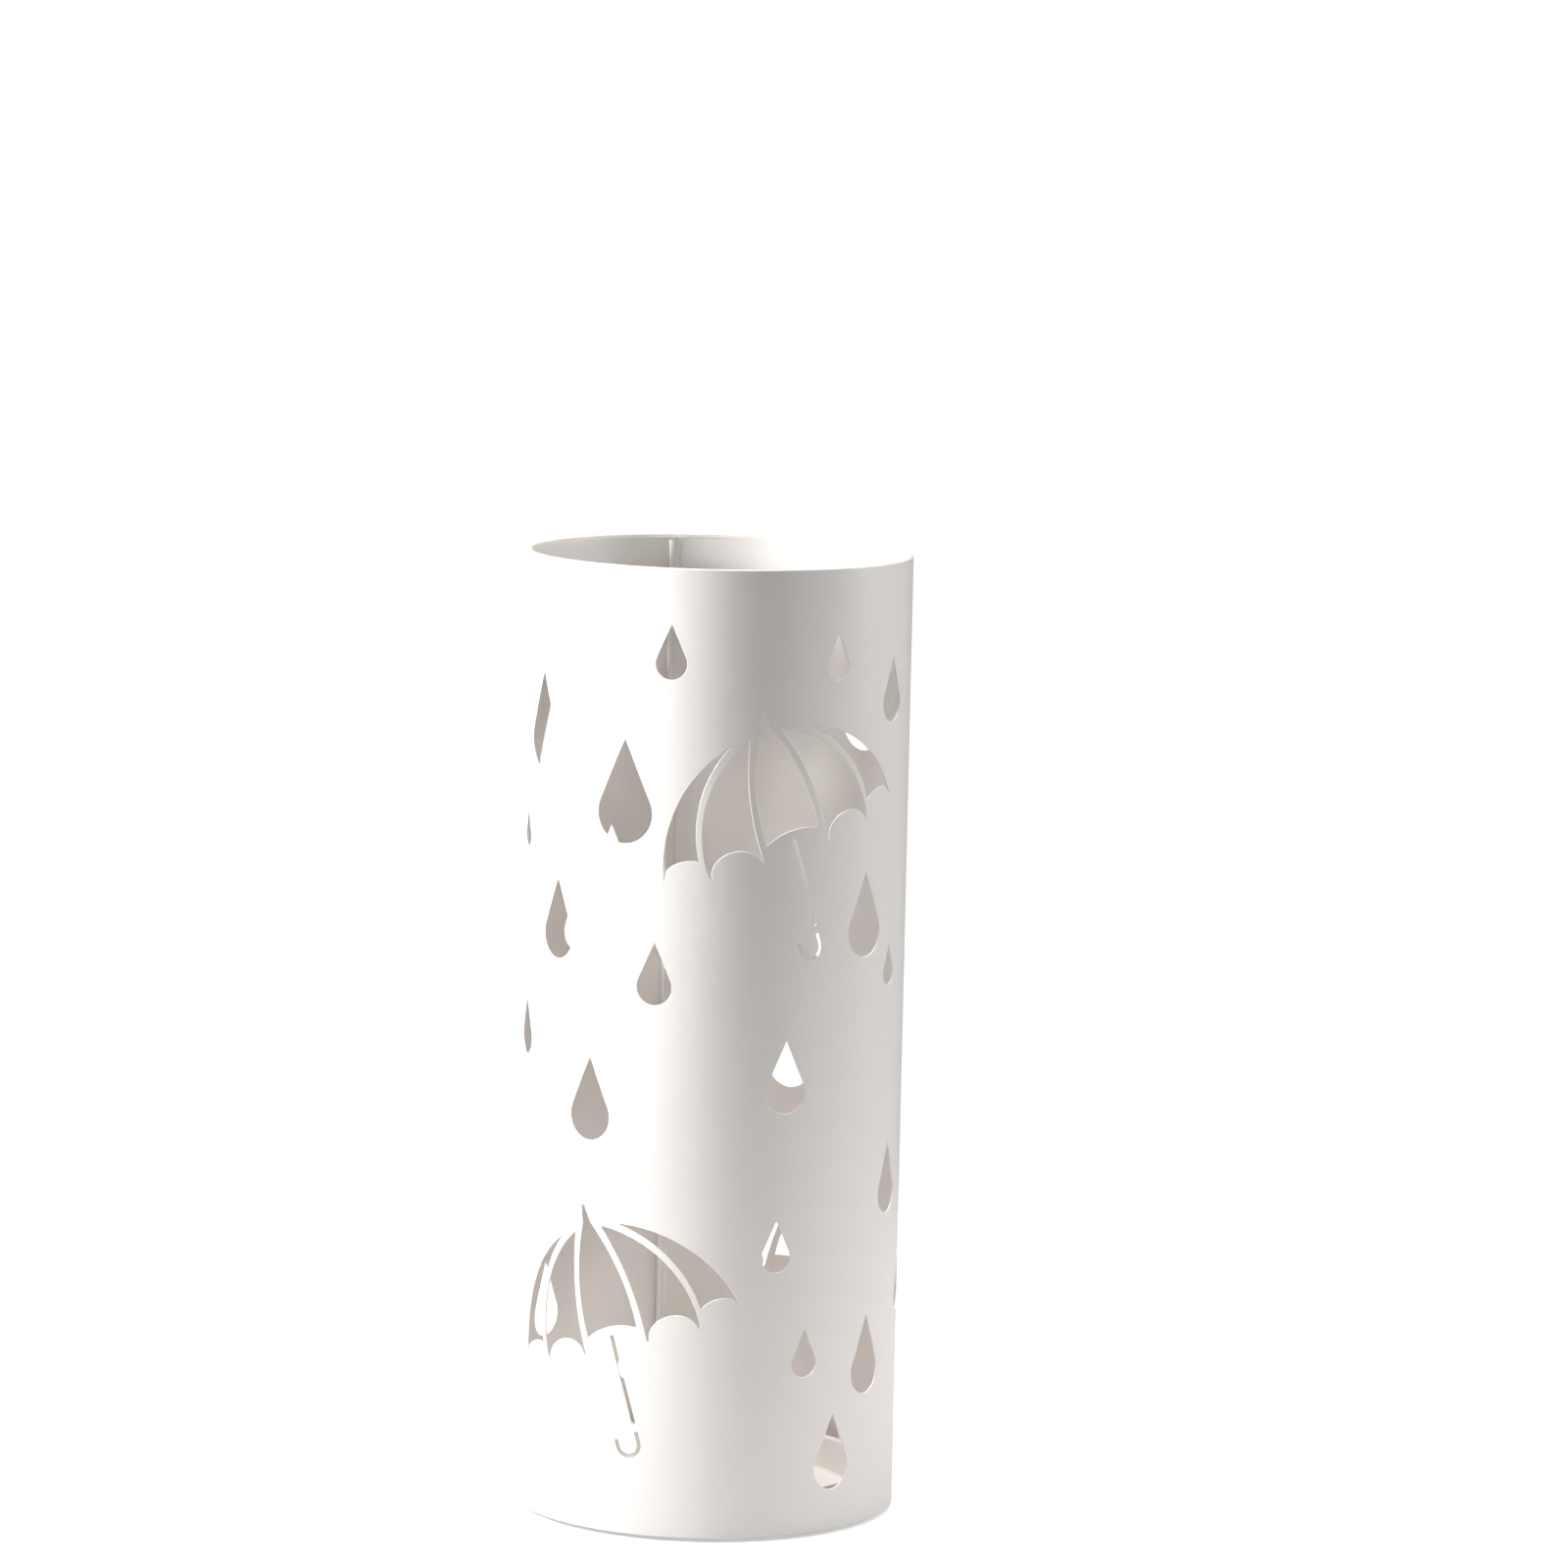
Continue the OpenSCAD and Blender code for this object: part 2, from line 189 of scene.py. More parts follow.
# The columns and rows of a grid over the sheet, close together in the joggle and the fold.
grid_pitch = 4.5
columns_round, columns_in_joggle, rows_in_fold = 145, 6, 13
outer_end = seam_x - math.tau * tube_r
columns = np.linspace(outer_end, seam_x, columns_round)[1:-1]
joggle_columns = np.linspace(joggle_x, seam_x - low_gap - edge_r, columns_in_joggle)[:-1]
flap_columns = np.linspace(seam_x + 0.5, flap_end_x - 0.5, 3)
hem_rows = np.concatenate([
    tube_h - np.array([4.0, 2.6, 1.6]), fold_y + fold_length * np.linspace(0, 1, rows_in_fold),
    [blank_top - 1.2, blank_top - 0.6]])
rows = np.append(np.arange(4, tube_h - 8, grid_pitch), hem_rows)

# The sheet's own outline: the outer end stops short of the seam line, and the flap runs on
# from it except at the floor dish and at the hem, where the two ends meet.
left_low, right_low = outer_end + low_gap, seam_x - low_gap
left_top, right_top = outer_end + top_gap, seam_x - top_gap
below_hem = np.array([
    (left_top, flap_high), (left_low, flap_high), (left_low, 0), (right_low, 0),
    (right_low, flap_low), (flap_end_x, flap_low), (flap_end_x, flap_high), (right_top, flap_high)])
sheet_outline = counterclockwise(np.vstack([
    divided(below_hem, grid_pitch, closed=False),
    [(right_top, y) for y in np.append(flap_high, hem_rows[1:])],
    [(right_top, blank_top)], [(x, blank_top) for x in columns[::-1]], [(left_top, blank_top)],
    [(left_top, y) for y in hem_rows[:0:-1]],
]))

# Points of the grid are kept where they are clear of the cut-outs, and past the seam only
# on the flap. The even columns give way to the close ones just before the joggle.
cut_clear, end_clear = 1.6, 1.0
grid_x, grid_y = np.meshgrid(np.concatenate([columns, joggle_columns, flap_columns]), rows)
grid = np.stack([grid_x, grid_y], -1).reshape(-1, 2)
on_flap = (grid[:, 1] > flap_low + end_clear) & (grid[:, 1] < flap_high - end_clear)
keep = (grid[:, 0] < right_low) | on_flap
keep &= (grid[:, 0] < joggle_x - end_clear) | (grid[:, 0] > joggle_x - 0.01)
for cut in cuts:
    near = keep & ((grid > cut.min(0) - cut_clear) & (grid < cut.max(0) + cut_clear)).all(1)
    points = grid[near]
    a, b = cut, np.roll(cut, -1, 0)
    along = ((points[:, None] - a) * (b - a)).sum(2) / ((b - a) ** 2).sum(1)
    gap = points[:, None] - (a + along.clip(0, 1)[..., None] * (b - a))
    far = np.linalg.norm(gap, axis=2).min(1) > cut_clear
    x, y = points[:, None, 0], points[:, None, 1]
    crosses = ((a[:, 1] > y) != (b[:, 1] > y))
    with np.errstate(divide="ignore", invalid="ignore"):
        crosses &= x < a[:, 0] + (y - a[:, 1]) * (b[:, 0] - a[:, 0]) / (b[:, 1] - a[:, 1])
    keep[np.flatnonzero(near)] = far & (crosses.sum(1) % 2 == 0)
grid = grid[keep]

# Both faces of the sheet are one triangulation, which keeps the rows of the hem as lines.
loops = [(sheet_outline, -outward(sheet_outline))] + [(cut, outward(cut)) for cut in cuts]
points, faces = [], []
for outline, grow in loops:
    faces.append(list(range(len(points), len(points) + len(outline))))
    points += [Vector(p) for p in outline + grow * edge_r]
hem_lines = []
same = 1e-4
for y in hem_rows[1:]:
    line = [i for i, p in enumerate(points[:len(sheet_outline)]) if abs(p[1] - y) < same]
    line += [len(points) + i for i in np.flatnonzero(abs(grid[:, 1] - y) < same)]
    line.sort(key=lambda i: points[i][0] if i < len(points) else grid[i - len(points)][0])
    hem_lines += zip(line, line[1:])
points += [Vector(p) for p in grid]
flat_points, _, triangles, sources, _, owners = delaunay_2d_cdt(points, hem_lines, faces, 1, 1e-6)
triangles = [t for t, owner in zip(triangles, owners) if list(owner) == [0]]
found = {}
for i, source in enumerate(sources):
    for s in source:
        found[s] = i

# The painted edges join the two faces: distance that the cut is widened by, and depth. The
# sheet's own outline, the first loop, faces the other way.
outer_face, inner_face, cut_edge = 0, 1, 2
quarter = edge_r * (1 - math.sqrt(0.5))
edge_run = [(quarter, quarter), (0, edge_r), (0, sheet_t - edge_r), (quarter, sheet_t - quarter)]
count = len(flat_points)
corners = [(p[0], depth, p[1]) for depth in (0, sheet_t) for p in flat_points]
tube_faces = [tuple(t) for t in triangles] + [tuple(i + count for i in t[::-1]) for t in triangles]
tube_sides = [outer_face] * len(triangles) + [inner_face] * len(triangles)
for k, ((outline, grow), face) in enumerate(zip(loops, faces)):
    rings = [[found[i] for i in face]]
    for out, depth in edge_run:
        rings.append(list(range(len(corners), len(corners) + len(outline))))
        corners += [(p[0], depth, p[1]) for p in outline + grow * out]
    rings.append([i + count for i in rings[0]])
    for upper, lower in zip(rings, rings[1:]):
        for i in range(len(outline)):
            j = (i + 1) % len(outline)
            quad = (upper[i], upper[j], lower[j], lower[i])
            tube_faces.append(quad if k else quad[::-1])
            tube_sides.append(cut_edge)
flat_corners = np.array(corners, float)
tube_mesh = bpy.data.meshes.new("tube")
tube_mesh.from_pydata((flat_corners * MM).tolist(), [], tube_faces)
tube_mesh.attributes.new("side", "INT", "FACE").data.foreach_set("value", tube_sides)


class Term:
    """A number or vector in a node tree, so that its maths reads as a plain expression."""

    def __init__(self, tree, socket):
        self.tree, self.socket = tree, socket

    def math(self, operation, *values):
        return self.tree.add("ShaderNodeMath", {"operation": operation}, dict(enumerate(values)))

    def __add__(self, other): return self.math("ADD", self, other)
    def __radd__(self, other): return self.math("ADD", other, self)
    def __sub__(self, other): return self.math("SUBTRACT", self, other)
    def __rsub__(self, other): return self.math("SUBTRACT", other, self)
    def __mul__(self, other): return self.math("MULTIPLY", self, other)
    def __rmul__(self, other): return self.math("MULTIPLY", other, self)
    def __truediv__(self, other): return self.math("DIVIDE", self, other)
    def __rtruediv__(self, other): return self.math("DIVIDE", other, self)
    def __pow__(self, other): return self.math("POWER", self, other)
    def __rpow__(self, other): return self.math("POWER", other, self)
    def least(self, other): return self.math("MINIMUM", self, other)
    def most(self, other): return self.math("MAXIMUM", self, other)

    def step(self, low, high):
        """0 below low and 1 above high, with a smooth rise between them."""
        return self.tree.add("ShaderNodeMapRange", {"interpolation_type": "SMOOTHSTEP"},
                             {"Value": self, "From Min": low, "From Max": high})

    def __getitem__(self, name):
        """Another output of the same node."""
        return Term(self.tree, self.socket.node.outputs[name])


class Nodes:
    """A node tree that nodes are added to: type, settings, then its sockets' values or links."""

    def __init__(self, tree):
        self.tree = tree
        tree.nodes.clear()

    def add(self, kind, settings=None, inputs=None, out=0):
        node = self.tree.nodes.new(kind)
        for name, value in (settings or {}).items():
            setattr(node, name, value)
        for name, value in (inputs or {}).items():
            socket = node.inputs[name] if isinstance(name, int) else next(
                s for s in node.inputs if s.enabled and name in (s.identifier, s.name))
            if isinstance(value, Term):
                self.tree.links.new(value.socket, socket)
            else:
                socket.default_value = value
        if not node.outputs:
            return node
        return Term(self, node.outputs[out] if isinstance(out, int) else next(
            o for o in node.outputs if out in (o.identifier, o.name)))


def geometry_tree(name, inputs):
    """An empty Geometry Nodes tree with the seed mesh and the named sizes as its inputs."""
    tree = bpy.data.node_groups.new(name, "GeometryNodeTree")
    face = tree.interface
    face.new_socket("Seed", in_out="INPUT", socket_type="NodeSocketGeometry")
    for label, kind in inputs.items():
        face.new_socket(label, in_out="INPUT", socket_type="NodeSocket" + kind)
    face.new_socket("Result", in_out="OUTPUT", socket_type="NodeSocketGeometry")
    nodes = Nodes(tree)
    return nodes, nodes.add("NodeGroupInput")


def finish_tree(nodes, geometry, material):
    """Realizes what the tree made, gives it its material and sends it out."""
    real = nodes.add("GeometryNodeRealizeInstances", {}, {"Geometry": geometry})
    painted = nodes.add("GeometryNodeSetMaterial", {}, {"Geometry": real, "Material": material})
    nodes.add("NodeGroupOutput", {}, {"Result": painted})
    return nodes.tree


def placed(name, data):
    """An object in the scene, made of a mesh, a lamp or a lens."""
    thing = bpy.data.objects.new(name, data)
    bpy.context.scene.collection.objects.link(thing)
    return thing


def grown(name, seed, tree, sizes):
    """The plain mesh object that a Geometry Nodes tree makes from a seed mesh."""
    maker = placed(name + "_maker", seed)
    modifier = maker.modifiers.new("make", "NODES")
    modifier.node_group = tree
    for item in tree.interface.items_tree:
        if item.in_out == "INPUT" and item.name in sizes:
            modifier[item.identifier] = sizes[item.name]
    evaluated = maker.evaluated_get(bpy.context.evaluated_depsgraph_get())
    mesh = bpy.data.meshes.new_from_object(evaluated)
    maker.modifiers.remove(modifier)
    bpy.data.objects.remove(maker)
    # An instanced seed leaves an empty place in the list of materials.
    finish = next(material for material in mesh.materials if material)
    mesh.materials.clear()
    mesh.materials.append(finish)
    mesh.name = name
    return placed(name, mesh)


def new_material(name):
    material = bpy.data.materials.new(name)
    material.use_nodes = True
    return material, Nodes(material.node_tree)


# Satin white powder coat: a faint orange peel with a finer grain in it, a roughness that
# wanders a little, and grey rubs on the rim where umbrellas go in and out.
coat, paint = new_material("white_powder_coat")
place = paint.add("ShaderNodeTexCoord", {}, {}, "Object")
height_here = paint.add("ShaderNodeSeparateXYZ", {}, {"Vector": place})["Z"]


def noise(tree, vector, scale, detail=2.0, rough=0.5):
    return tree.add("ShaderNodeTexNoise", {}, {
        "Vector": vector, "Scale": scale, "Detail": detail, "Roughness": rough}, "Fac")


def blend(tree, share, first, second):
    """A colour that goes from the first to the second as share goes from 0 to 1."""
    return tree.add("ShaderNodeMix", {"data_type": "RGBA"}, {
        "Factor_Float": share, "A_Color": first, "B_Color": second}, "Result_Color")


def bumped(tree, strength, distance, height):
    return tree.add("ShaderNodeBump", {}, {
        "Strength": strength, "Distance": distance, "Height": height}, "Normal")


def surfaced(tree, finish):
    """Ends a material in one Principled shader with that finish."""
    shader = tree.add("ShaderNodeBsdfPrincipled", {}, finish)
    tree.add("ShaderNodeOutputMaterial", {}, {"Surface": shader})


peel = noise(paint, place, 620, 1.0)
grain = noise(paint, place, 2300, 1.0)
cloud = noise(paint, place, 9, 3.0)
rubs = noise(paint, place, 240, 4.0, 0.6)
rub_starts, rub_full = 1.1, 0.2     # below the rim
at_rim = height_here.step(shell_high.z - rub_starts * MM, shell_high.z - rub_full * MM)
worn = at_rim * rubs.step(0.56, 0.64) * 0.3
clean_white, warm_white, rub_grey = (
    (0.815, 0.800, 0.780, 1), (0.795, 0.778, 0.756, 1), (0.46, 0.455, 0.45, 1))
white = blend(paint, cloud.step(0.35, 0.7) * 0.5, clean_white, warm_white)
surfaced(paint, {
    "Base Color": blend(paint, worn, white, rub_grey),
    "Roughness": 0.36 + (cloud - 0.5) * 0.12 + worn * 0.2 + (grain - 0.5) * 0.05,
    "Normal": bumped(paint, 0.7, 0.1 * MM, peel * 0.75 + grain * 0.25), "IOR": 1.5})

# The rolling machine: each point of the flat sheet goes to its place on the cylinder, the
# upper strip round the fold of the hem, and the flap one sheet further in.
nodes, given = geometry_tree("roll_the_sheet", {
    "Tube radius": "Float", "Sheet thickness": "Float", "Hem gap": "Float", "Fold start": "Float",
    "Fold length": "Float", "Lower edge": "Float", "Flap start": "Float", "Joggle": "Float",
    "Flap low": "Float", "Flap high": "Float", "Flap fade": "Float", "Coat": "Material"})
position = nodes.add("GeometryNodeInputPosition")
split = nodes.add("ShaderNodeSeparateXYZ", {}, {"Vector": position})
s, depth, y = split["X"], split["Y"], split["Z"]
r0, t, gap = given["Tube radius"], given["Sheet thickness"], given["Hem gap"]
turn = ((y - given["Fold start"]) / given["Fold length"]).most(0).least(1) * math.pi
leg = (y - given["Fold start"] - given["Fold length"]).most(0)
reach = t + gap / 2 - depth
inset = s.step(given["Flap start"], given["Flap start"] + given["Joggle"])
inset *= y.step(given["Flap low"], given["Flap low"] + given["Flap fade"])
inset *= 1 - y.step(given["Flap high"] - given["Flap fade"], given["Flap high"])
radius = r0 - t - gap / 2 + reach * turn.math("COSINE", turn) - inset * (t + gap)
height = given["Lower edge"] + y.least(given["Fold start"]) + reach * turn.math("SINE", turn) - leg
angle = s / r0
rolled = nodes.add("ShaderNodeCombineXYZ", {}, {
    "X": radius * angle.math("SINE", angle), "Y": 0 - radius * angle.math("COSINE", angle),
    "Z": height})
sheet = nodes.add("GeometryNodeSetPosition", {}, {"Geometry": given["Seed"], "Position": rolled})
roll_tree = finish_tree(nodes, sheet, given["Coat"])

tube = grown("pierced_tube", tube_mesh, roll_tree, {
    "Tube radius": tube_r * MM, "Sheet thickness": sheet_t * MM, "Hem gap": hem_gap * MM,
    "Fold start": fold_y * MM, "Fold length": fold_length * MM, "Lower edge": foot_lift * MM,
    "Flap start": joggle_x * MM, "Joggle": joggle * MM, "Flap low": flap_low * MM,
    "Flap high": flap_high * MM, "Flap fade": flap_fade * MM, "Coat": coat})

# The two faces are shaded as the true cylinder, hem and joggle, and the painted edges by
# themselves.
mesh = tube.data
mesh.polygons.foreach_set("use_smooth", [True] * len(mesh.polygons))
mesh.set_sharp_from_angle(angle=math.radians(50))
loop_count = len(mesh.loops)
corner_of = np.zeros(loop_count, int)
edge_of = np.zeros(loop_count, int)
mesh.loops.foreach_get("vertex_index", corner_of)
mesh.loops.foreach_get("edge_index", edge_of)
side_of = np.zeros(len(mesh.polygons), int)
mesh.attributes["side"].data.foreach_get("value", side_of)
sizes = np.zeros(len(mesh.polygons), int)
mesh.polygons.foreach_get("loop_total", sizes)
loop_side = np.repeat(side_of, sizes)
lowest = np.full(len(mesh.edges), cut_edge)
highest = np.full(len(mesh.edges), outer_face)
np.minimum.at(lowest, edge_of, loop_side)
np.maximum.at(highest, edge_of, loop_side)
sharp = np.zeros(len(mesh.edges), bool)
marks = mesh.attributes.get("sharp_edge") or mesh.attributes.new("sharp_edge", "BOOLEAN", "EDGE")
marks.data.foreach_get("value", sharp)
marks.data.foreach_set("value", sharp | (lowest != highest))
s, _, y = flat_corners[corner_of].T
turn = ((y - fold_y) / fold_length).clip(0, 1) * math.pi
share = ((s - joggle_x) / joggle).clip(0, 1)
inside = np.clip((y - flap_low) / flap_fade, 0, 1) * np.clip((flap_high - y) / flap_fade, 0, 1)
slope = 6 * share * (1 - share) / joggle * (sheet_t + hem_gap) * (inside > 0.5)
phi = s / tube_r
across = np.stack([np.sin(phi), -np.cos(phi), 0 * phi], 1) * np.cos(turn)[:, None]
across += np.stack([np.cos(phi), np.sin(phi), 0 * phi], 1) * slope[:, None]
across[:, 2] += np.sin(turn)
across /= np.linalg.norm(across, axis=1)[:, None]
across[loop_side == inner_face] *= -1
across[loop_side == cut_edge] = 0
mesh.normals_split_custom_set(across.tolist())
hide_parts("shell")
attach(tube, "stand")

# ======================================================================================
# Spot welds of the seam
# The flap is spot-welded under the outer end of the sheet. Each weld shows inside the tube,
# under the paint, as a round dimple with a low ring pushed up around it.
# ======================================================================================
def mesh_from(name, corners, faces):
    mesh = bpy.data.meshes.new(name)
    mesh.from_pydata((np.array(corners, float) * MM).tolist(), [], faces)
    return mesh


def lathed(name, outline, steps):
    """The closed mesh of an outline (radius, height) that starts and ends on the axis."""
    turn = np.linspace(0, math.tau, steps, endpoint=False)
    corners = [(0, 0, outline[0][1]), (0, 0, outline[-1][1])]
    for r, z in outline[1:-1]:
        corners += [(r * math.cos(a), r * math.sin(a), z) for a in turn]
    faces = []
    for i in range(steps):
        j = (i + 1) % steps
        for ring in range(len(outline) - 3):
            low = 2 + ring * steps
            faces.append((low + i, low + j, low + steps + j, low + steps + i))
        faces += [(0, 2 + j, 2 + i), (1, low + steps + i, low + steps + j)]
    return mesh_from(name, corners, faces)


def smoothed(piece, degrees):
    """Shades a piece smooth up to that angle, with its flats kept flat beside their bends."""
    piece.data.polygons.foreach_set("use_smooth", [True] * len(piece.data.polygons))
    piece.data.set_sharp_from_angle(angle=math.radians(degrees))
    modifier = piece.modifiers.new("weighted", "WEIGHTED_NORMAL")
    modifier.keep_sharp = True
    evaluated = piece.evaluated_get(bpy.context.evaluated_depsgraph_get())
    piece.data = bpy.data.meshes.new_from_object(evaluated)
    piece.modifiers.remove(modifier)
    piece.data.name = piece.name


weld_r, weld_root, ring_top = 1.7, -0.25, 0.09
weld_mark = lathed("weld_mark", [
    (0, weld_root), (weld_r, weld_root), (weld_r, -0.02), (weld_r - 0.15, 0.05),
    (weld_r - 0.3, ring_top), (weld_r - 0.45, ring_top), (weld_r - 0.65, 0.04),
    (0.6, 0.02), (0, 0.015)], 20)

# Marks in rows on the inside of a cylinder, each with its back to the wall.
nodes, given = geometry_tree("rows_of_welds", {
    "Wall radius": "Float", "Around": "Int", "Up": "Int", "First angle": "Float",
    "Angle pitch": "Float", "First height": "Float", "Height pitch": "Float", "Coat": "Material"})
row = nodes.add("GeometryNodeMeshLine", {}, {"Count": given["Around"] * given["Up"]})
index = nodes.add("GeometryNodeInputIndex")
up = (index / given["Around"]).math("FLOOR", index / given["Around"])
angle = given["First angle"] + (index - up * given["Around"]) * given["Angle pitch"]
spot = nodes.add("ShaderNodeCombineXYZ", {}, {
    "X": given["Wall radius"] * angle.math("SINE", angle),
    "Y": 0 - given["Wall radius"] * angle.math("COSINE", angle),
    "Z": given["First height"] + up * given["Height pitch"]})
spots = nodes.add("GeometryNodeSetPosition", {}, {"Geometry": row, "Position": spot})
facing = nodes.add("ShaderNodeCombineXYZ", {}, {"X": -math.pi / 2, "Z": angle})
marks = nodes.add("GeometryNodeInstanceOnPoints", {}, {
    "Points": spots, "Instance": given["Seed"], "Rotation": facing})
weld_tree = finish_tree(nodes, marks, given["Coat"])

weld_count, first_weld, weld_pitch, weld_angle = 12, 34, 36, 178.8
seam_welds = grown("seam_welds", weld_mark, weld_tree, {
    "Wall radius": flap_inner_r * MM, "Around": 1, "Up": weld_count,
    "First angle": math.radians(weld_angle), "Angle pitch": 0.0,
    "First height": (foot_lift + first_weld) * MM, "Height pitch": weld_pitch * MM, "Coat": coat})
smoothed(seam_welds, 50)
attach(seam_welds, "stand")

# ======================================================================================
# Bead along the seam
# The free end of the flap is closed against the wall with a thin run of sealer before the
# powder coat, and shows inside the tube as a smooth half-round line.
# ======================================================================================
bead_r, bead_sunk, bead_sides = 1.15, 0.1, 20
nodes, given = geometry_tree("bead_along_a_line", {
    "Bead radius": "Float", "Sides": "Int", "Coat": "Material"})
line = nodes.add("GeometryNodeMeshToCurve", {}, {"Mesh": given["Seed"]})
ring = nodes.add("GeometryNodeCurvePrimitiveCircle", {}, {
    "Resolution": given["Sides"], "Radius": given["Bead radius"]})
bead = nodes.add("GeometryNodeCurveToMesh", {}, {
    "Curve": line, "Profile Curve": ring, "Fill Caps": True})
bead_tree = finish_tree(nodes, bead, given["Coat"])

flap_end = bpy.data.meshes.new("flap_end")
flap_end.from_pydata([(0, (flap_inner_r + bead_sunk) * MM, (foot_lift + z) * MM)
                      for z in (flap_low, flap_high)], [(0, 1)], [])
seam_bead = grown("seam_bead", flap_end, bead_tree, {
    "Bead radius": bead_r * MM, "Sides": bead_sides, "Coat": coat})
smoothed(seam_bead, 50)
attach(seam_bead, "stand")

# ======================================================================================
# Floor dish
# A disc of 1 mm steel pressed to a dish, its edge turned up to a flange that is spot-welded
# inside the foot of the tube. It has the tube's own powder coat.
# ======================================================================================
def rounded(corners):
    """An open outline with its corners (x, y, radius) rounded."""
    points = [corners[0][:2]]
    for before, here, after in zip(corners, corners[1:], corners[2:]):
        at, r = np.array(here[:2], float), here[2]
        back, ahead = (np.array(c[:2]) - at for c in (before, after))
        back, ahead = back / np.linalg.norm(back), ahead / np.linalg.norm(ahead)
        half = math.acos(np.clip(back @ ahead, -1, 1)) / 2
        sweep = math.pi - 2 * half
        centre = at + (back + ahead) / np.linalg.norm(back + ahead) * r / math.sin(half)
        start = at + back * r / math.tan(half) - centre
        end = at + ahead * r / math.tan(half) - centre
        steps = max(2, math.ceil(sweep / math.radians(18)))
        for k in np.linspace(0, 1, steps + 1):
            points.append(centre + (math.sin((1 - k) * sweep) * start
                                    + math.sin(k * sweep) * end) / math.sin(sweep))
    return [tuple(p) for p in points] + [corners[-1][:2]]


dish_low, dish_high = (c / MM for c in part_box("floor_dish"))
dish_r, dish_t, dish_bend, dish_edge = dish_high.x, 1.0, 3.0, 0.3
low, high = dish_low.z, dish_high.z
floor_dish = placed("floor_dish_pressed", lathed("floor_dish_pressed", rounded([
    (0, low, 0), (dish_r, low, dish_bend), (dish_r, high, dish_edge),
    (dish_r - dish_t, high, dish_edge), (dish_r - dish_t, low + dish_t, dish_bend - dish_t),
    (0, low + dish_t, 0)]), 144))
floor_dish.data.materials.append(coat)
smoothed(floor_dish, 50)
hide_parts("floor_dish")
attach(floor_dish, "stand")

dish_welds, welds_down = 10, 4     # in number, and below the top of the flange
floor_welds = grown("floor_welds", weld_mark, weld_tree, {
    "Wall radius": (dish_r - dish_t) * MM, "Around": dish_welds, "Up": 1,
    "First angle": math.pi / dish_welds, "Angle pitch": math.tau / dish_welds,
    "First height": (high - welds_down) * MM, "Height pitch": 0.0, "Coat": coat})
smoothed(floor_welds, 50)
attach(floor_welds, "stand")

# ======================================================================================
# Hooks
# Four strips of 1.2 mm steel, bent to a J and spot-welded inside below the rim, for the
# straps of folding umbrellas. Their corners are rounded off before the powder coat.
# ======================================================================================
hook_top = (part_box("hook_1")[1] / MM).z
hook_count = 4
hook_t, hook_gape, hook_w = 1.2, 7.0, 12.0
hook_back, hook_tip = 18.0, 6.0
hook_seat_r = 96.41            # from the axis to the back of a hook
hook_corner_r, hook_end_r, hook_edge_r = 2.5, 0.5, 0.35
hook_bend = (hook_gape + hook_t) / 2
turn = np.linspace(math.pi, math.tau, 15)[1:-1]
# The middle line of the strip, its distance from the wall and its height, from the top.
run = [(hook_t / 2, -down) for down in (0, 0.1, 0.35, 1, 2, 3, 9, hook_back)]
run += [(hook_t / 2 + hook_bend * (1 + math.cos(a)), hook_bend * math.sin(a) - hook_back)
        for a in turn]
run += [(hook_t / 2 + 2 * hook_bend, hook_tip - hook_back - to_end)
        for to_end in (hook_tip, 3.5, 2.5, 1.5, 0.8, 0.4, 0.15, 0)]
run = np.array(run)
ahead = np.gradient(run, axis=0)
ahead /= np.linalg.norm(ahead, axis=1)[:, None]
run_length = np.append(0, np.cumsum(np.linalg.norm(np.diff(run, axis=0), axis=1)))


def drawn_in(radius, from_end):
    """How far an edge has drawn in, that close to an end with corners of that radius."""
    return radius - math.sqrt(radius ** 2 - max(0, radius - from_end) ** 2)


def skinned(name, corners, size, order=1):
    """The closed mesh over rings of size corners; order is -1 where they run the other way."""
    last = len(corners) - size
    faces = []
    for start in range(0, last, size):
        for k in range(size):
            a, b = start + k, start + (k + 1) % size
            faces.append((a, a + size, b + size, b) if order > 0 else (a, b, b + size, a + size))
    faces += [tuple(range(size))[::order], tuple(range(last, last + size))[::-order]]
    return mesh_from(name, corners, faces)


corners, ring_size = [], 20
for (out, up), (along_out, along_up), done in zip(run, ahead, run_length):
    from_end = min(done, run_length[-1] - done)
    half_w = hook_w / 2 - drawn_in(hook_corner_r, from_end)
    half_t = hook_t / 2 - drawn_in(hook_end_r, from_end)
    r = min(hook_edge_r, half_t * 0.9)
    for k in range(ring_size):
        a = math.tau * (k + 0.5) / ring_size
        across = math.copysign(half_w - r, math.cos(a)) + r * math.cos(a)
        thick = math.copysign(half_t - r, math.sin(a)) + r * math.sin(a)
        corners.append((across, -hook_seat_r + out - along_up * thick,
                        hook_top + up + along_out * thick))
hook_mesh = skinned("hook", corners, ring_size)

# The same piece set round the axis a number of times.
nodes, given = geometry_tree("set_round_the_axis", {
    "Number": "Int", "First angle": "Float", "Finish": "Material"})
centre = nodes.add("GeometryNodeMeshLine", {}, {"Count": given["Number"], "Offset": (0, 0, 0)})
index = nodes.add("GeometryNodeInputIndex")
about = nodes.add("ShaderNodeCombineXYZ", {}, {
    "Z": given["First angle"] + index / given["Number"] * math.tau})
copies = nodes.add("GeometryNodeInstanceOnPoints", {}, {
    "Points": centre, "Instance": given["Seed"], "Rotation": about})
round_tree = finish_tree(nodes, copies, given["Finish"])

hooks = grown("strap_hooks", hook_mesh, round_tree, {
    "Number": hook_count, "First angle": math.pi / hook_count, "Finish": coat})
smoothed(hooks, 40)
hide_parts("hook_1", "hook_2", "hook_3", "hook_4")
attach(hooks, "stand")

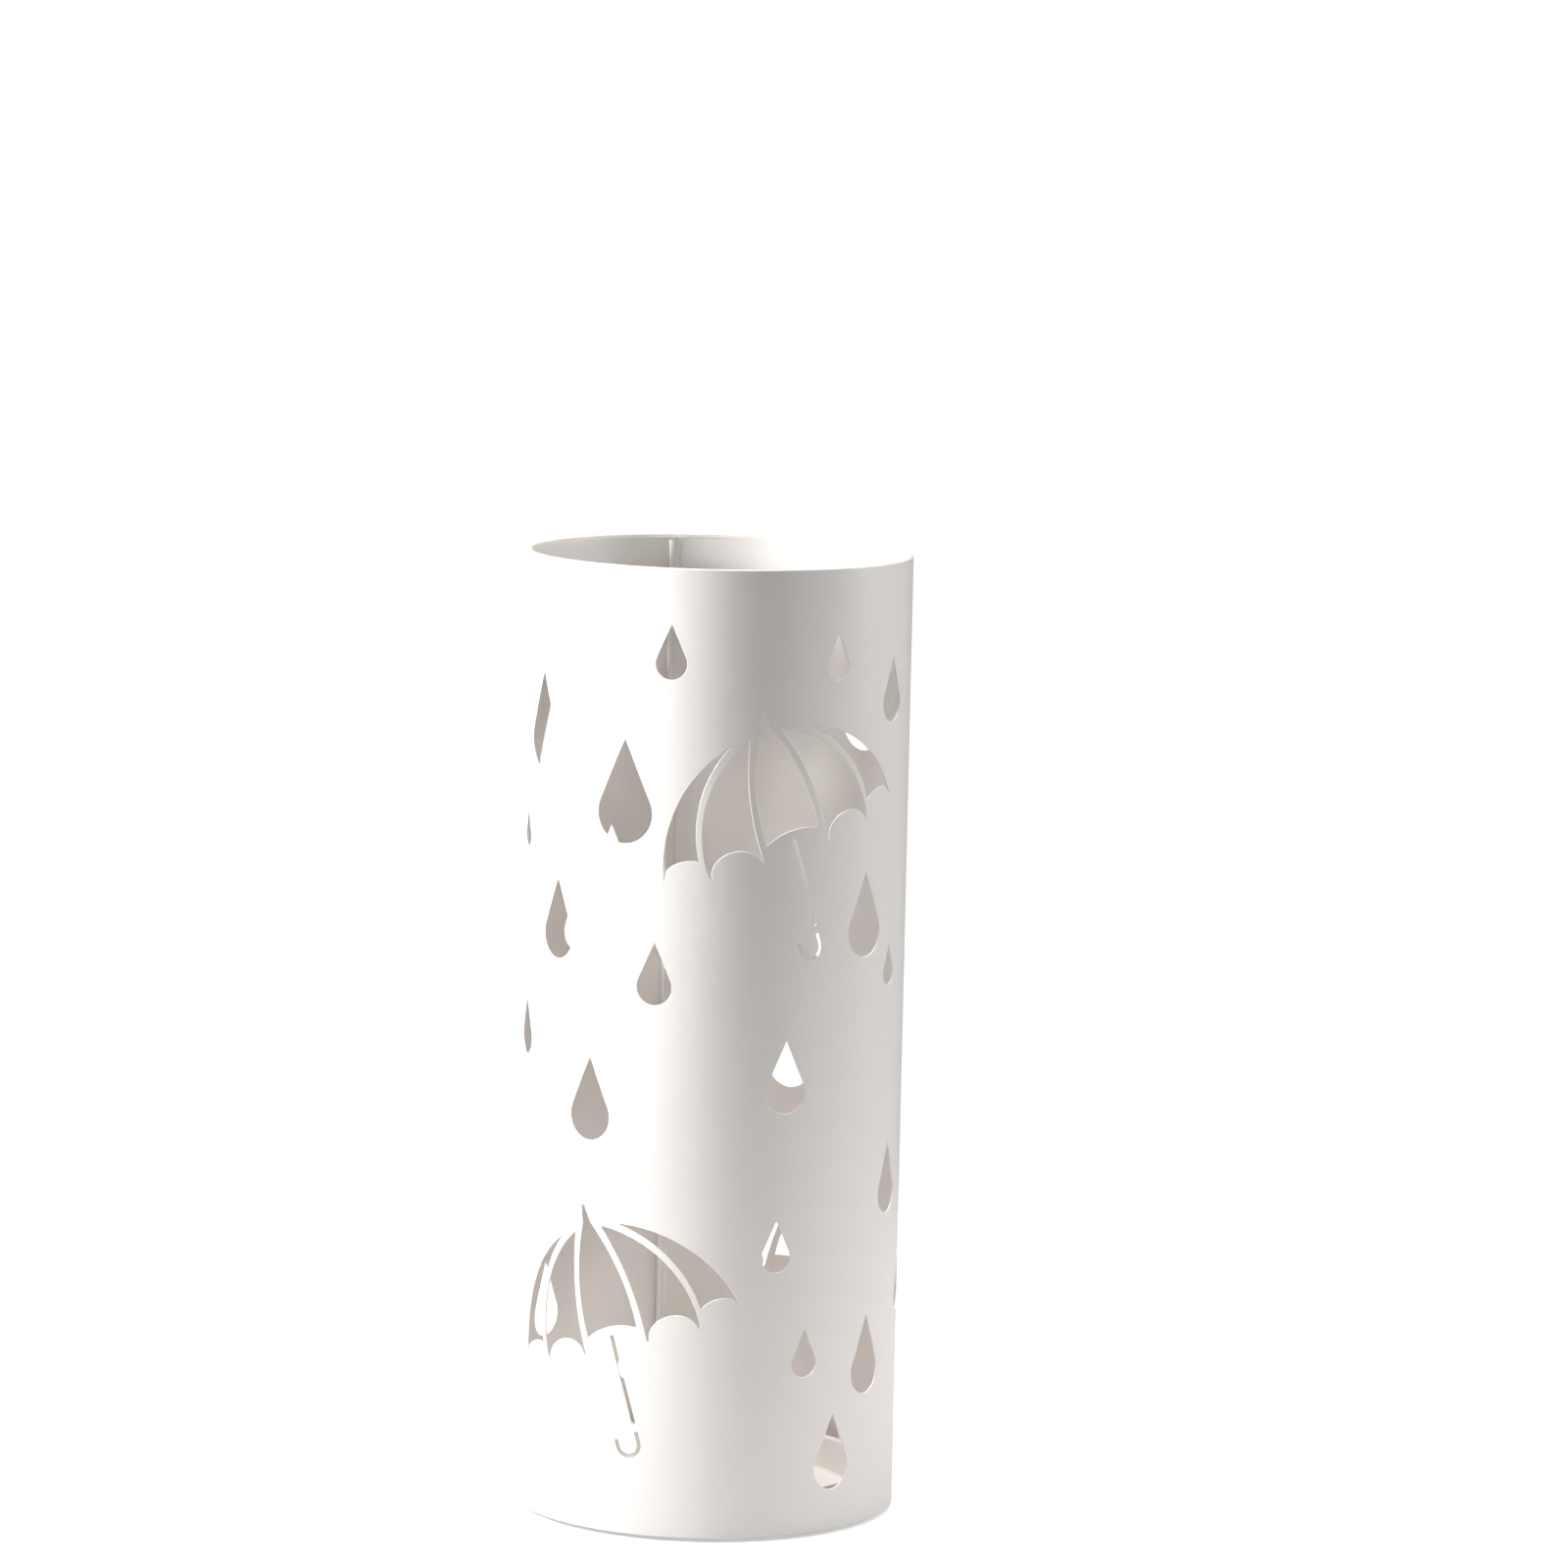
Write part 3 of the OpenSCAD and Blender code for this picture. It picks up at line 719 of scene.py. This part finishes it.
low_weld, hook_weld_pitch = 12.5, 7.5     # from the top of the hook, and between its two
hook_welds = grown("hook_welds", weld_mark, weld_tree, {
    "Wall radius": (hook_seat_r - hook_t) * MM, "Around": hook_count, "Up": 2,
    "First angle": math.pi / hook_count, "Angle pitch": math.tau / hook_count,
    "First height": (hook_top - low_weld) * MM, "Height pitch": hook_weld_pitch * MM,
    "Coat": coat})
smoothed(hook_welds, 50)
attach(hook_welds, "stand")

# ======================================================================================
# Foot pads
# Four discs of dark grey foam rubber, stuck under the floor dish, with rings moulded in
# their undersides for grip.
# ======================================================================================
foot_low, foot_high = (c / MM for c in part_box("foot_1"))
foot_count = 4
foot_r = (foot_high.x - foot_low.x) / 2
foot_ring_r = math.hypot((foot_high.x + foot_low.x) / 2, (foot_high.y + foot_low.y) / 2)
top, low = foot_high.z, foot_low.z
groove_z, slant, ring_w = low + 0.35, 0.25, 0.9
pad_outline = [(0, groove_z)]
for ring_r in (1.4, 3.2, 5.0):
    pad_outline += [(ring_r - slant, groove_z), (ring_r, low), (ring_r + ring_w, low),
                    (ring_r + ring_w + slant, groove_z)]
pad_outline += rounded([(6.6, groove_z, 0), (6.6 + slant, low, 0.15), (foot_r, low, 0.5),
                        (foot_r, top, 0.3), (foot_r - 1, top, 0)])
foot_mesh = lathed("foot_pad", pad_outline + [(0, top)], 48)
foot_mesh.transform(Matrix.Translation((0, -foot_ring_r * MM, 0)))
rubber, pad = new_material("pad_rubber")
place = pad.add("ShaderNodeTexCoord", {}, {}, "Object")
cells = pad.add("ShaderNodeTexVoronoi", {}, {"Vector": place, "Scale": 1700.0}, "Distance")
dust = noise(pad, place, 260, 3.0)
dark_grey, dust_grey = (0.028, 0.028, 0.03, 1), (0.09, 0.088, 0.085, 1)
surfaced(pad, {
    "Base Color": blend(pad, dust.step(0.45, 0.75) * 0.5, dark_grey, dust_grey),
    "Roughness": 0.72 + dust * 0.2, "Normal": bumped(pad, 0.6, 0.1 * MM, cells)})
feet = grown("foot_pads", foot_mesh, round_tree, {
    "Number": foot_count, "First angle": math.pi / foot_count, "Finish": rubber})
smoothed(feet, 40)
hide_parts("foot_1", "foot_2", "foot_3", "foot_4")
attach(feet, "stand")

# ======================================================================================
# Drip tray
# A dish moulded in white polypropylene, which lies loose on the floor dish and lifts out to
# be emptied. Six ribs keep wet tips off its floor, and its lip gives fingers a hold.
# ======================================================================================
tray_low, tray_high = (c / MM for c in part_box("drip_tray"))
tray_r, tray_h = tray_high.x, tray_high.z - tray_low.z
tray_t, tray_draft, tray_lip = 1.6, 4.0, 3.0
rib_count, rib_h, rib_clear = 6, 1.6, 5.0
tray_foot_r = tray_r - tray_lip - tray_draft
side_top = tray_h - tray_t
recess, sprue_r, sprue_recess = 0.2, 1.6, 0.5     # under the floor, and where the mould was fed
tray_outline = rounded([
    (0, sprue_recess, 0), (sprue_r - 0.3, sprue_recess, 0.1), (sprue_r, recess, 0.1),
    (tray_foot_r - 7, recess, 0.1), (tray_foot_r - 7.3, 0, 0.1), (tray_foot_r, 0, 1.4),
    (tray_foot_r + tray_draft, side_top, 0.5), (tray_r, side_top, 0.45), (tray_r, tray_h, 0.7),
    (tray_foot_r + tray_draft - tray_t, tray_h, 1.0), (tray_foot_r - tray_t, tray_t, 2.2),
    (0, tray_t, 0)])
tray_dish = lathed("tray_dish", tray_outline, 128)
tray_dish.transform(Matrix.Translation((0, 0, tray_low.z * MM)))

# One rib, with drafted sides and rounded top and ends; the tree sets it out and stretches
# it to reach across the round floor.
rib_half = 10.0
stations = [(-rib_half + from_end, share)
            for from_end, share in ((0, 0.0), (0.08, 0.45), (0.4, 0.85), (1.0, 1.0))]
stations += [(-along, share) for along, share in stations[::-1]]
rib_foot, rib_top, rib_root = 0.85, 0.62, -0.6
section = rounded([(rib_foot, rib_root, 0), (rib_top, rib_h, 0.5), (-rib_top, rib_h, 0.5),
                   (-rib_foot, rib_root, 0)])
corners = [(x * (0.35 + 0.65 * share), along, z if z < 0 else z * share)
           for along, share in stations for x, z in section]
rib_mesh = skinned("tray_rib", corners, len(section), -1)

nodes, given = geometry_tree("ribs_across_the_tray", {
    "Dish": "Object", "Number": "Int", "Pitch": "Float", "Reach": "Float",
    "Rib half length": "Float", "Floor height": "Float", "Plastic": "Material"})
row = nodes.add("GeometryNodeMeshLine", {}, {"Count": given["Number"]})
index = nodes.add("GeometryNodeInputIndex")
first = nodes.add("ShaderNodeCombineXYZ", {}, {
    "X": (index - (given["Number"] - 1) / 2) * given["Pitch"], "Z": given["Floor height"]})
spots = nodes.add("GeometryNodeSetPosition", {}, {"Geometry": row, "Position": first})
ribs = nodes.add("GeometryNodeInstanceOnPoints", {}, {"Points": spots, "Instance": given["Seed"]})
ribs = nodes.add("GeometryNodeRealizeInstances", {}, {"Geometry": ribs})
position = nodes.add("GeometryNodeInputPosition")
split = nodes.add("ShaderNodeSeparateXYZ", {}, {"Vector": position})
slot = split["X"] / given["Pitch"] - 0.5
rib_x = (slot.math("ROUND", slot) + 0.5) * given["Pitch"]
half = (given["Reach"] * given["Reach"] - rib_x * rib_x) ** 0.5
stretch = split["Y"].math("SIGN", split["Y"]) * (half - given["Rib half length"])
moved = nodes.add("ShaderNodeCombineXYZ", {}, {"Y": stretch})
ribs = nodes.add("GeometryNodeSetPosition", {}, {"Geometry": ribs, "Offset": moved})
dish = nodes.add("GeometryNodeObjectInfo", {}, {"Object": given["Dish"]}, "Geometry")
both = nodes.add("GeometryNodeJoinGeometry", {}, {"Geometry": dish})
nodes.tree.links.new(ribs.socket, both.socket.node.inputs["Geometry"])
tray_tree = finish_tree(nodes, both, given["Plastic"])

plastic, mould = new_material("tray_plastic")
place = mould.add("ShaderNodeTexCoord", {}, {}, "Object")
grain = noise(mould, place, 1500, 2.0, 0.6)
flow = noise(mould, place, 14, 2.0)
spots_dried = mould.add("ShaderNodeTexVoronoi", {}, {"Vector": place, "Scale": 75.0}, "Distance")
ring_mark = spots_dried.step(0.16, 0.2) * (1 - spots_dried.step(0.2, 0.25)) * flow.step(0.5, 0.7)
light_milky, dark_milky, dried_drip = (
    (0.76, 0.76, 0.75, 1), (0.73, 0.73, 0.72, 1), (0.64, 0.64, 0.62, 1))
milky = blend(mould, flow, light_milky, dark_milky)
surfaced(mould, {
    "Base Color": blend(mould, ring_mark * 0.5, milky, dried_drip),
    "Roughness": 0.48 + (flow - 0.5) * 0.1 + ring_mark * 0.2,
    "Normal": bumped(mould, 0.5, 0.04 * MM, grain)})

dish_only = placed("tray_dish", tray_dish)
reach = tray_foot_r - tray_t - rib_clear
tray = grown("ribbed_tray", rib_mesh, tray_tree, {
    "Dish": dish_only, "Number": rib_count, "Pitch": 2 * reach / (rib_count + 1) * MM,
    "Reach": reach * MM, "Rib half length": rib_half * MM,
    "Floor height": (tray_low.z + tray_t) * MM, "Plastic": plastic})
bpy.data.objects.remove(dish_only)
smoothed(tray, 40)
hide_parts("drip_tray")
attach(tray, "tray")

# ======================================================================================
# View and studio
# A long lens a little over three metres off looks slightly down on the rim. A strong soft
# light stands on the left and a weaker one on the right, small ones light the rim and the
# mouth, and a broad one hangs overhead. The round floor is plain and pale.
# ======================================================================================
lens = bpy.data.cameras.new("view")
lens.lens, lens.sensor_width = 153.07, 36
lens.clip_start, lens.clip_end = 0.1, 200
view = placed("view", lens)
view_turn, view_yaw, view_pitch, view_roll = (
    math.radians(a) for a in (-15.6, 0.58377, 7.44061, 1.21767))
stand_off, eye_height = 3.36256, 0.81073
view.matrix_world = (
    Matrix.Rotation(view_turn, 4, "Z") @ Matrix.Translation((0, -stand_off, eye_height))
    @ Matrix.Rotation(-view_yaw, 4, "Z") @ Matrix.Rotation(math.pi / 2 - view_pitch, 4, "X")
    @ Matrix.Rotation(view_roll, 4, "Z"))
bpy.context.scene.camera = view
bpy.context.scene.view_settings.view_transform = "Standard"

# The floor sends back about half of its light, so that the foot of the wall isn't too bright,
# and it glows for the lens alone, so that it still looks white.
floor_r, floor_sides = 0.85, 96
turn = np.linspace(0, math.tau, floor_sides, endpoint=False)
floor_mesh = bpy.data.meshes.new("studio_floor")
floor_mesh.from_pydata([(floor_r * math.cos(a), floor_r * math.sin(a), 0) for a in turn], [],
                       [tuple(range(floor_sides))])
floor = placed("studio_floor", floor_mesh)
matt, ground = new_material("studio_floor")
speck = noise(ground, ground.add("ShaderNodeTexCoord", {}, {}, "Object"), 30, 3.0)
seen = ground.add("ShaderNodeLightPath", {}, {}, "Is Camera Ray")
surfaced(ground, {
    "Base Color": blend(ground, speck, (0.56, 0.56, 0.56, 1), (0.54, 0.54, 0.54, 1)),
    "Roughness": 0.8, "Emission Strength": 1.0,
    "Emission Color": blend(ground, seen, (0, 0, 0, 1), (0.5, 0.5, 0.5, 1))})
floor_mesh.materials.append(matt)


def soft_light(name, azimuth, distance, height, width, tall, power, colour=(1, 1, 1),
               aim=(0, 0, 0.25), spread=180):
    """A softbox aimed at the stand; azimuth 0 is in front, and 90 to the right, of the view."""
    light = bpy.data.lights.new(name, "AREA")
    light.shape = "RECTANGLE"
    light.size, light.size_y = width, tall
    light.energy, light.color, light.spread = power, colour, math.radians(spread)
    lamp = placed(name, light)
    turn = math.radians(azimuth) + view_turn
    at = Vector((math.sin(turn) * distance, -math.cos(turn) * distance, height))
    facing = (Vector(aim) - at).to_track_quat("-Z", "Y")
    lamp.matrix_world = Matrix.Translation(at) @ facing.to_matrix().to_4x4()
    lamp.visible_camera = False


# Azimuth, distance, height, width, length and power of each.
soft_light("light_left", -72, 0.8, 0.52, 0.3, 0.34, 9.3)
soft_light("light_over_rim", -73, 0.5, 0.6, 0.15, 0.1, 1.8, aim=(0, 0, 0.45))
soft_light("light_right", 95, 1.2, 0.68, 0.6, 0.34, 7.7)
soft_light("light_front", 45, 1.8, 0.42, 1.0, 0.6, 2.4)
soft_light("light_into_mouth", -75, 0.3, 0.75, 0.05, 0.05, 0.010,
           aim=(0.07, 0.065, 0.47), spread=16)
soft_light("light_mouth", 0, 0.06, 1.8, 0.2, 0.2, 6.5, (1, 0.64, 0.48))
sun = bpy.data.lights.new("light_above", "SUN")
sun.energy = 3.2
sun.color = (1.0, 0.975, 0.955)
sun.angle = math.radians(32)
placed("light_above", sun)

# The backdrop is white to the lens, and lights the stand only faintly.
world = bpy.data.worlds.new("studio")
bpy.context.scene.world = world
world.use_nodes = True
sky = Nodes(world.node_tree)
seen = sky.add("ShaderNodeLightPath", {}, {}, "Is Camera Ray")
backdrop = sky.add("ShaderNodeBackground", {}, {"Color": (1, 1, 1, 1), "Strength": 0.05 + seen})
sky.add("ShaderNodeOutputWorld", {}, {"Surface": backdrop})
